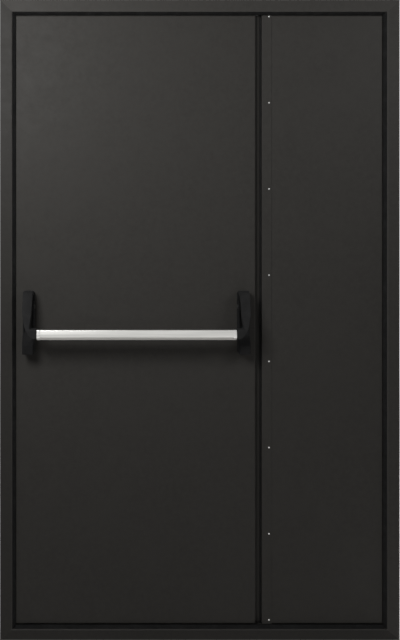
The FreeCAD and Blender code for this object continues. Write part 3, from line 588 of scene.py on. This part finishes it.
GRAPHITE: Colour = (0.0455, 0.0434, 0.0402)
FINISHES: dict[Slot, Finish] = {
    # The frame's bends carry a painted highlight.
    Slot.FRAME_PAINT: PowderCoat("frame_coat", GRAPHITE, painted_bend_highlight=0.6),
    # The leaves' surfaces that face left carry painted shade.
    Slot.LEAF_PAINT: PowderCoat("leaf_coat", GRAPHITE, painted_shade_facing_left=0.9),
    Slot.HINGE_PAINT: PowderCoat("hinge_coat", (0.043, 0.041, 0.038), sheet_wave=0.0),
    Slot.SEAL_RUBBER: Rubber("seal_rubber", (0.0095, 0.0095, 0.0095)),
    Slot.CASE_BLACK: CastBlack(
        "case_moulding", (0.0068, 0.0068, 0.007), roughness=0.78, sheen=0.15
    ),
    Slot.ARM_BLACK: CastBlack(
        "arm_casting", (0.0085, 0.0085, 0.0087), roughness=0.82, sheen=0.25
    ),
    Slot.BAR_ALUMINIUM: DrawnAluminium("bar_metal", (0.78, 0.77, 0.74)),
    Slot.COLLAR_ALUMINIUM: DrawnAluminium("collar_metal", (0.8, 0.79, 0.77), roughness=0.3),
    Slot.LOCK_STEEL: PlatedSteel("plated_steel", (0.58, 0.58, 0.57)),
    Slot.PIVOT_STEEL: PlatedSteel("black_steel", (0.05, 0.05, 0.05), roughness=0.4),
}

# Members painted lighter or darker than the rest as painted light and shade, with the share of
# the finish's colour that each has.
LIGHT_AND_SHADE_TONES = {
    # Painted light and shade on the frame: the left jamb and the sill darker, the head lighter.
    "left_jamb": 0.8,
    "sill": 0.7,
    "head": 1.12,
    # Painted shade in the meeting stile's rebate.
    "active_meeting_stile": 0.66,
    # Painted shade: the plated steel in the meeting edges nearly black, so it stays dark in the
    # gap.
    "lock_forend": 0.08,
    "latch_bolt": 0.08,
    "strike_plate": 0.08,
    "lower_flush_bolt": 0.08,
    "upper_flush_bolt": 0.08,
}


class Palette:
    """The finished materials, one for each slot."""

    def __init__(self) -> None:
        """Build every material."""
        self.materials = {slot: finish.build() for slot, finish in FINISHES.items()}

    def coat(self, piece: bpy.types.Object, slot: Slot) -> None:
        """Give a piece the material of a slot."""
        piece.data.materials.clear()
        piece.data.materials.append(self.materials[slot])

    def coat_nodes(self) -> None:
        """Give every node of the frame its slot's material, or a copy with painted light or
        shade.
        """
        for part in frame["record"]["subparts"]:
            node, slot = part["node"], Slot(part["material_slot"])
            self.coat(frame["nodes"][node], slot)
            # A lighter or darker copy of the finish paints light or shade onto this member.
            if node in LIGHT_AND_SHADE_TONES:
                finish = FINISHES[slot]
                shade = tint(finish.colour, LIGHT_AND_SHADE_TONES[node])
                toned_copy = replace(finish, name=f"{finish.name}_{node}", colour=shade)
                frame["nodes"][node].data.materials[0] = toned_copy.build()
        log.info("coated %d nodes", len(frame["nodes"]))


def pick(piece: bpy.types.Object) -> None:
    """Make a piece the only selected and active one.

    Args:
        piece: The object.
    """
    bpy.ops.object.select_all(action="DESELECT")
    piece.select_set(True)
    bpy.context.view_layer.objects.active = piece


def select_where(piece: bpy.types.Object, inside: Callable[[Vector], bool]) -> None:
    """Select the vertices that pass a test, and only the edges and faces between them.

    Args:
        piece: The object.
        inside: Test of a vertex's place.
    """
    vertices = piece.data.vertices
    for vertex in vertices:
        vertex.select = inside(vertex.co)
    for item in (*piece.data.edges, *piece.data.polygons):
        item.select = all(vertices[index].select for index in item.vertices)


def apply_modifiers(piece: bpy.types.Object) -> None:
    """Apply every modifier of a piece.

    Args:
        piece: The object.
    """
    pick(piece)
    for modifier in list(piece.modifiers):
        bpy.ops.object.modifier_apply(modifier=modifier.name)


def smooth(piece: bpy.types.Object, angle: float) -> None:
    """Smooth the shading of a piece up to an angle in degrees."""
    pick(piece)
    bpy.ops.object.shade_smooth_by_angle(angle=math.radians(angle))


@dataclass
class Softener:
    """Copies nodes with their edges bevelled. Angles are in degrees."""

    palette: Palette
    merge_distance: float = 0.00001
    flat_angle: float = 0.5
    sharp_angle: float = 32.0
    smooth_angle: float = 38.0
    segments: int = 4

    def merged_copy(self, node: str) -> bpy.types.Object:
        """Copy a node and merge its mesh into one closed surface.

        Args:
            node: Name of the node.

        Returns:
            The copy.
        """
        copy = bpy.data.objects.new(f"{node}_soft", frame["nodes"][node].data.copy())
        bpy.context.scene.collection.objects.link(copy)
        pick(copy)
        bpy.ops.object.mode_set(mode="EDIT")
        bpy.ops.mesh.select_all(action="SELECT")
        bpy.ops.mesh.remove_doubles(threshold=self.merge_distance)
        bpy.ops.mesh.dissolve_limited(angle_limit=math.radians(self.flat_angle))
        bpy.ops.mesh.normals_make_consistent(inside=False)
        bpy.ops.object.mode_set(mode="OBJECT")
        return copy

    def soften(self, node: str, width: float) -> None:
        """Make a bevelled copy of a node that stands for it.

        Args:
            node: Name of the node.
            width: Width of the bevels in metres.
        """
        copy = self.merged_copy(node)
        bevel = copy.modifiers.new("soft_edges", "BEVEL")
        bevel.limit_method = "ANGLE"
        bevel.angle_limit = math.radians(self.sharp_angle)
        bevel.width = width
        bevel.segments = self.segments
        apply_modifiers(copy)
        smooth(copy, self.smooth_angle)
        self.hand_over(copy, node)

    def hand_over(self, copy: bpy.types.Object, node: str) -> None:
        """Let a finished copy stand for its node.

        Args:
            copy: The copy.
            node: Name of the node.
        """
        parts = frame["record"]["subparts"]
        slot = next(part["material_slot"] for part in parts if part["node"] == node)
        self.palette.coat(copy, Slot(slot))
        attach(copy, frame["nodes"][node]["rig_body"])
        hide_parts(node)
        log.info("softened %s: %d faces", node, len(copy.data.polygons))


@dataclass(frozen=True)
class PanScrew:
    """A low domed screw head with a cross recess, modelled once and copied.

    The rim's bevel is a share of the height, and the recess's blades are shares of the radius.
    Each copy is turned on by a step in radians.
    """

    name: str
    radius: float
    height: float
    recess: float
    sides: int = 28
    rim_share: float = 0.42
    rim_segments: int = 4
    blade_length: float = 1.15
    blade_width: float = 0.26
    turn_step: float = 0.7
    smooth_angle: float = 40.0

    def model(self) -> bpy.types.Object:
        """Model the head on the origin, facing +Z.

        Returns:
            The head.
        """
        bpy.ops.object.select_all(action="DESELECT")
        bpy.ops.mesh.primitive_cylinder_add(
            vertices=self.sides, radius=self.radius, depth=self.height
        )
        head = bpy.context.object
        head.name = self.name
        select_where(head, lambda place: place.z > 0)
        bpy.ops.object.mode_set(mode="EDIT")
        bpy.ops.mesh.select_mode(type="FACE")
        bpy.ops.mesh.bevel(
            offset=self.rim_share * self.height, segments=self.rim_segments, affect="EDGES"
        )
        bpy.ops.object.mode_set(mode="OBJECT")
        self.cut_recess(head)
        pick(head)
        head.location.z = self.height / 2
        bpy.ops.object.transform_apply(location=True, rotation=True, scale=True)
        smooth(head, self.smooth_angle)
        return head

    def cut_recess(self, head: bpy.types.Object) -> None:
        """Cut the cross into the head.

        Args:
            head: The head, centred on the origin.
        """
        length = self.blade_length * self.radius
        width = self.blade_width * self.radius
        for turn in (0.0, math.pi / 2):
            bpy.ops.object.select_all(action="DESELECT")
            bpy.ops.mesh.primitive_cube_add(size=1.0, location=(0.0, 0.0, self.height / 2))
            blade = bpy.context.object
            blade.scale = (length, width, 2.0 * self.recess)
            blade.rotation_euler.z = turn
            bpy.ops.object.transform_apply(location=True, rotation=True, scale=True)
            cut = head.modifiers.new("recess", "BOOLEAN")
            cut.object = blade
            cut.operation = "DIFFERENCE"
            cut.solver = "EXACT"
            apply_modifiers(head)
            bpy.data.objects.remove(blade)

    def set_row(
        self, palette: Palette, seats: Sequence[Point], facing: Facing, body: Body, slot: Slot
    ) -> None:
        """Place copies of the head.

        Args:
            palette: The materials.
            seats: Middle of the underside of each head.
            facing: Direction that the heads face.
            body: Body that they ride on.
            slot: Slot of their material.
        """
        master = self.model()
        turn = Vector(facing.value).to_track_quat("Z", "Y").to_matrix().to_4x4()
        for index, seat in enumerate(seats, start=1):
            copy = master.copy()
            copy.data = master.data.copy()
            copy.name = f"{self.name}_{index}"
            bpy.context.scene.collection.objects.link(copy)
            spin = Matrix.Rotation(self.turn_step * index, 4, "Z")
            copy.data.transform(Matrix.Translation(seat) @ turn @ spin)
            palette.coat(copy, slot)
            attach(copy, body.value)
        bpy.data.objects.remove(master)
        log.info("set %d of %s", len(seats), self.name)


@dataclass
class CoverStrip:
    """The screws of the passive leaf's cover strip."""

    palette: Palette
    screw: PanScrew = PanScrew("cover_screw", radius=0.0026, height=0.0014, recess=0.0008)
    across: float = 0.2243
    lowest: float = 0.0556
    highest: float = 1.9986
    count: int = 8

    def build(self) -> None:
        """Set the row of screws in the strip's face."""
        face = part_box("meeting_cover")[0].y
        pitch = (self.highest - self.lowest) / (self.count - 1)
        seats = [(self.across, face, self.lowest + index * pitch) for index in range(self.count)]
        self.screw.set_row(self.palette, seats, Facing.ROOM, Body.PASSIVE, Slot.LOCK_STEEL)


@dataclass
class EdgeFittings:
    """The screws of the plates in the leaves' meeting edges."""

    palette: Palette
    forend_screw: PanScrew = PanScrew("forend_screw", radius=0.0042, height=0.0008, recess=0.0006)
    edge_screw: PanScrew = PanScrew("edge_screw", radius=0.0038, height=0.0008, recess=0.0006)
    inset: float = 0.011

    def seats(self, node: str, facing: Facing) -> list[Point]:
        """Give the two screw places of a plate.

        Args:
            node: Name of the plate's node.
            facing: Direction that the plate faces, left or right.

        Returns:
            The two places.
        """
        low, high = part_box(node)
        face = high.x if facing is Facing.RIGHT else low.x
        middle = (low.y + high.y) / 2
        return [(face, middle, low.z + self.inset), (face, middle, high.z - self.inset)]

    def build(self) -> None:
        """Set two screws in each plate."""
        # Both rows take the black steel, dark as painted shade in the meeting gap.
        seats = self.seats("lock_forend", Facing.RIGHT)
        self.forend_screw.set_row(
            self.palette, seats, Facing.RIGHT, Body.ACTIVE, Slot.PIVOT_STEEL
        )
        plates = ("strike_plate", "lower_flush_bolt", "upper_flush_bolt")
        seats = [seat for plate in plates for seat in self.seats(plate, Facing.LEFT)]
        self.edge_screw.set_row(self.palette, seats, Facing.LEFT, Body.PASSIVE, Slot.PIVOT_STEEL)


@dataclass
class SeamLip:
    """The rubber lip on the passive leaf's edge that closes the view through the meeting seam.

    The blade laps the tip of the meeting stile and stays clear of it on the room side.
    """

    palette: Palette
    foot_width: float = 0.0034
    foot_height: float = 0.0007
    blade: float = 0.0014
    tip_share: float = 0.5
    end_step: float = 0.0006
    lap: float = 0.0005
    clear: float = 0.0006
    soft: float = 0.00015
    soft_segments: int = 2
    smooth_angle: float = 40.0

    def build(self) -> None:
        """Make the lip on the edge of the cover strip."""
        low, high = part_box("meeting_cover")
        stile_low, stile_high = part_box("active_meeting_stile")
        tip = stile_high.x - self.lap
        middle = (low.x, stile_low.y - self.clear - self.blade / 2, (low.z + high.z) / 2)
        lip = self.model(middle, high.z - low.z, tip)
        bevel = lip.modifiers.new("soft", "BEVEL")
        bevel.width = self.soft
        bevel.segments = self.soft_segments
        apply_modifiers(lip)
        smooth(lip, self.smooth_angle)
        self.palette.coat(lip, Slot.SEAL_RUBBER)
        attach(lip, Body.PASSIVE.value)
        log.info("seam lip, tip at %.4f m", tip)

    def model(self, middle: Point, length: float, tip: float) -> bpy.types.Object:
        """Draw the blade out of a foot that stands on the edge.

        Args:
            middle: Middle of the foot's seat.
            length: Length of the foot in metres.
            tip: Place of the blade's tip along X.

        Returns:
            The lip, with hard edges.
        """
        bpy.ops.object.select_all(action="DESELECT")
        bpy.ops.mesh.primitive_cube_add(size=1.0)
        lip = bpy.context.object
        lip.name = "seam_lip"
        lip.scale = (self.foot_height, self.foot_width, length)
        lip.location = (middle[0] - self.foot_height / 2, middle[1], middle[2])
        bpy.ops.object.transform_apply(location=True, rotation=True, scale=True)
        select_where(lip, lambda place: place.x < middle[0] - self.foot_height / 2)
        bpy.ops.object.mode_set(mode="EDIT")
        bpy.ops.mesh.select_mode(type="FACE")
        bpy.ops.mesh.extrude_region_move()
        shares = (1.0, self.blade / self.foot_width, 1.0 - 2.0 * self.end_step / length)
        bpy.ops.transform.resize(value=shares, center_override=middle)
        reach = middle[0] - self.foot_height - tip
        bpy.ops.mesh.extrude_region_move(TRANSFORM_OT_translate={"value": (-reach, 0.0, 0.0)})
        bpy.ops.transform.resize(value=(1.0, self.tip_share, 1.0), center_override=middle)
        bpy.ops.object.mode_set(mode="OBJECT")
        return lip


@dataclass
class CastArm:
    """An arm whose elbow is cut back and whose edges run over softly, as on a casting.

    Each cut of the elbow has its distance in from the middle of the case, its height over the
    middle of the bar and its lean from level in degrees.
    """

    softener: Softener
    elbow: Sequence[tuple[float, float, float]] = (
        (0.007, 0.0029, 58.0),
        (0.014, -0.006, 50.0),
        (0.0175, -0.0087, 32.0),
        (0.021, -0.0104, 14.0),
        (0.025, -0.0112, 0.0),
    )
    grid: float = 0.0009
    pull: float = 0.5
    rounds: int = 22

    def build(self, node: str, case: str, side: Side) -> None:
        """Make the arm that stands for its node.

        Args:
            node: Name of the arm's node.
            case: Name of its case's node.
            side: End of the bar that the arm holds.
        """
        arm = self.softener.merged_copy(node)
        low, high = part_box(case)
        bar_low, bar_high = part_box("push_bar")
        middle = (low.x + high.x) / 2
        bar_level = (bar_low.z + bar_high.z) / 2
        for inward, up, angle in self.elbow:
            lean = math.radians(angle)
            outward = (side.value * math.sin(lean), 0.0, -math.cos(lean))
            self.cut(arm, (middle - side.value * inward, 0.0, bar_level + up), outward)
        remesh = arm.modifiers.new("even_grid", "REMESH")
        remesh.mode = "VOXEL"
        remesh.voxel_size = self.grid
        soft = arm.modifiers.new("soft_edges", "SMOOTH")
        soft.factor = self.pull
        soft.iterations = self.rounds
        apply_modifiers(arm)
        pick(arm)
        bpy.ops.object.shade_smooth()
        self.softener.hand_over(arm, node)

    def cut(self, arm: bpy.types.Object, place: Point, outward: Point) -> None:
        """Cut away what lies beyond a plane and close the cut.

        Args:
            arm: The arm.
            place: A place on the plane.
            outward: Direction from the plane to what is cut away.
        """
        pick(arm)
        bpy.ops.object.mode_set(mode="EDIT")
        bpy.ops.mesh.select_all(action="SELECT")
        bpy.ops.mesh.bisect(plane_co=place, plane_no=outward, use_fill=True, clear_outer=True)
        bpy.ops.object.mode_set(mode="OBJECT")


@dataclass
class PushBarDevice:
    """The cases, arms, collars and pins with softened edges."""

    softener: Softener
    case_edge: float = 0.0014
    collar_edge: float = 0.0008
    pin_edge: float = 0.0008

    def build(self) -> None:
        """Soften the device's pieces."""
        for side in Side:
            name = side.name.lower()
            self.softener.soften(f"{name}_case", self.case_edge)
            CastArm(self.softener).build(f"{name}_arm", f"{name}_case", side)
            self.softener.soften(f"{name}_bar_collar", self.collar_edge)
            self.softener.soften(f"{name}_pivot_pin", self.pin_edge)


@dataclass
class Hinges:
    """The hinge halves with softened edges."""

    softener: Softener
    edge: float = 0.0008

    def build(self) -> None:
        """Soften all eight halves."""
        for leaf in ("active", "passive"):
            for level in ("lower", "upper"):
                for half in ("frame", "leaf"):
                    self.softener.soften(f"{leaf}_{level}_hinge_{half}_half", self.edge)


@dataclass(frozen=True)
class Lamp:
    """A soft square studio lamp, with its power in watts and its spread in degrees."""

    name: str
    place: Point
    target: Point
    size: float
    power: float
    spread: float = 180.0
    mirrored: bool = True

    def build(self) -> None:
        """Put the lamp in the scene."""
        data = bpy.data.lights.new(self.name, "AREA")
        data.size = self.size
        data.spread = math.radians(self.spread)
        data.energy = self.power
        lamp = bpy.data.objects.new(self.name, data)
        bpy.context.scene.collection.objects.link(lamp)
        lamp.visible_camera = False
        lamp.visible_glossy = self.mirrored
        lamp.location = self.place
        aim = Vector(self.target) - Vector(self.place)
        lamp.rotation_euler = aim.to_track_quat("-Z", "Y").to_euler()
        log.info("lamp %s of %.1f W", self.name, self.power)


LAMPS = (
    Lamp("key", place=(-1.0, -1.4, 2.1), target=(-0.4, 0.0, 1.6), size=0.7, power=23.5),
    Lamp("fill", place=(1.3, -1.2, 2.1), target=(0.4, 0.0, 1.7), size=0.7, power=6.2),
    Lamp(
        "back_key",
        place=(1.6, 2.6, 2.2),
        target=(0.1, 0.0, 1.2),
        size=1.2,
        power=40.0,
        spread=110.0,
        mirrored=False,
    ),
    Lamp(
        "back_fill",
        place=(0.7, 3.2, 2.0),
        target=(-0.3, 0.0, 1.2),
        size=1.2,
        power=22.0,
        spread=110.0,
        mirrored=False,
    ),
)


def seen_rays(tree: bpy.types.NodeTree) -> Socket:
    """Find the rays that show a surface to the eye, straight, in a mirror or through glass.

    Args:
        tree: Node tree of a material or a world.

    Returns:
        A mask, 1 for those rays.
    """
    path = tree.nodes.new("ShaderNodeLightPath")
    seen = path.outputs["Is Camera Ray"]
    for ray in ("Is Glossy Ray", "Is Transmission Ray"):
        either = tree.nodes.new("ShaderNodeMath")
        either.operation = "MAXIMUM"
        tree.links.new(seen, either.inputs[0])
        tree.links.new(path.outputs[ray], either.inputs[1])
        seen = either.outputs["Value"]
    return seen


@dataclass
class Studio:
    """The floor, the light and the camera.

    The camera's principal point, the door's middle column and its foot row are places in the
    picture, in pixels. The scale is the size of a pixel at the frame's room face.
    """

    floor_size: float = 12.0
    floor_colour: Colour = (0.62, 0.61, 0.6)
    floor_darker: float = 0.95
    floor_clouds: Noise = Noise(2.0, 4.0)
    floor_grit: Noise = Noise(220.0, 3.0)
    grit_height: float = 0.0002
    grit_strength: float = 0.3
    floor_roughness: float = 0.7
    floor_sheen: float = 0.1
    floor_glow: float = 0.55
    floor_mirrored: float = 1.05
    floor_fade: Span = (1.2, 4.2)
    room_end: Span = (0.0, 0.1)
    even_light: float = 0.009
    backdrop: float = 0.86
    backdrop_mirrored: float = 0.68
    sensor: float = 36.0
    distance: float = 2.35
    principal: Span = (120.0, 192.0)
    picture: tuple[int, int] = (400, 640)
    middle_column: float = 199.85
    scale: float = 0.0031985
    foot_row: float = 640.2

    def build(self) -> None:
        """Set up the whole studio."""
        self.lay_floor()
        self.light_world()
        for lamp in LAMPS:
            lamp.build()
        self.set_camera()
        bpy.context.scene.view_settings.view_transform = "Standard"

    def lay_floor(self) -> None:
        """Lay a plain pale floor under the door."""
        bpy.ops.object.select_all(action="DESELECT")
        bpy.ops.mesh.primitive_plane_add(size=self.floor_size)
        floor = bpy.context.object
        floor.name = "floor"
        floor.data.materials.append(self.floor_paint())
        log.info("floor of %.0f m", self.floor_size)

    def floor_paint(self) -> bpy.types.Material:
        """Make the floor's paint, which fades into the backdrop far from the door.

        Returns:
            The material.
        """
        graph = Graph("floor_paint")
        shaded = tint(self.floor_colour, self.floor_darker)
        tone = graph.mottle(shaded, self.floor_colour, self.floor_clouds)
        grit = graph.noise(self.floor_grit)
        reach = graph.add("VectorMath", operation="LENGTH")
        graph.feed(reach, vector=graph.place())
        far = graph.spread(reach.outputs["Value"], 0.0, 1.0, self.floor_fade)
        glow = graph.blend(far, self.near_glow(graph), (self.backdrop,) * 3)
        return graph.shade(
            base_color=graph.blend(far, tone, BLACK),
            roughness=self.floor_roughness,
            normal=graph.bump(grit, self.grit_height, self.grit_strength),
            emission_color=graph.blend(far, tone, WHITE),
            emission_strength=graph.reckon("MULTIPLY", seen_rays(graph.tree), glow),
            specular_ior_level=self.floor_sheen,
        )

    def near_glow(self, graph: Graph) -> Socket:
        """Give the floor's glow near the door, of which reflections show the room side alone.

        Args:
            graph: The paint's node tree.

        Returns:
            The strength of the glow.
        """
        place = graph.add("SeparateXYZ")
        graph.feed(place, vector=graph.place())
        more = graph.spread(
            place.outputs["Y"], self.floor_mirrored, -self.floor_glow, self.room_end
        )
        mirrored = graph.add("LightPath").outputs["Is Glossy Ray"]
        return graph.reckon("ADD", graph.reckon("MULTIPLY", mirrored, more), self.floor_glow)

    def light_world(self) -> None:
        """Light the scene evenly and show a pale backdrop."""
        world = bpy.data.worlds.new("studio")
        bpy.context.scene.world = world
        world.use_nodes = True
        tree = world.node_tree
        background = tree.nodes["Background"]
        background.inputs["Color"].default_value = (*WHITE, 1.0)
        shown = tree.nodes.new("ShaderNodeMapRange")
        path = tree.nodes.new("ShaderNodeLightPath")
        tree.links.new(path.outputs["Is Glossy Ray"], shown.inputs["Value"])
        shown.inputs["To Min"].default_value = self.backdrop
        shown.inputs["To Max"].default_value = self.backdrop_mirrored
        strength = tree.nodes.new("ShaderNodeMapRange")
        tree.links.new(seen_rays(tree), strength.inputs["Value"])
        strength.inputs["To Min"].default_value = self.even_light
        tree.links.new(shown.outputs["Result"], strength.inputs["To Max"])
        tree.links.new(strength.outputs["Result"], background.inputs["Strength"])

    def set_camera(self) -> None:
        """Set the camera where the photograph was taken."""
        data = bpy.data.cameras.new("camera")
        data.sensor_width = self.sensor
        column, row = self.principal
        width, height = self.picture
        data.lens = self.sensor * self.distance / (height * self.scale)
        data.shift_x = (width / 2 - column) / height
        data.shift_y = (row - height / 2) / height
        camera = bpy.data.objects.new("camera", data)
        bpy.context.scene.collection.objects.link(camera)
        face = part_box("left_jamb")[0].y
        across = (column - self.middle_column) * self.scale
        camera.location = (across, face - self.distance, (self.foot_row - row) * self.scale)
        camera.rotation_euler = (math.pi / 2, 0.0, 0.0)
        bpy.context.scene.camera = camera
        log.info("camera %.2f m from the frame", self.distance)


def main() -> None:
    """Build the looks of the door and its studio."""
    palette = Palette()
    palette.coat_nodes()
    softener = Softener(palette)
    PushBarDevice(softener).build()
    Hinges(softener).build()
    CoverStrip(palette).build()
    EdgeFittings(palette).build()
    SeamLip(palette).build()
    Studio().build()


if __name__ == "__main__":
    main()
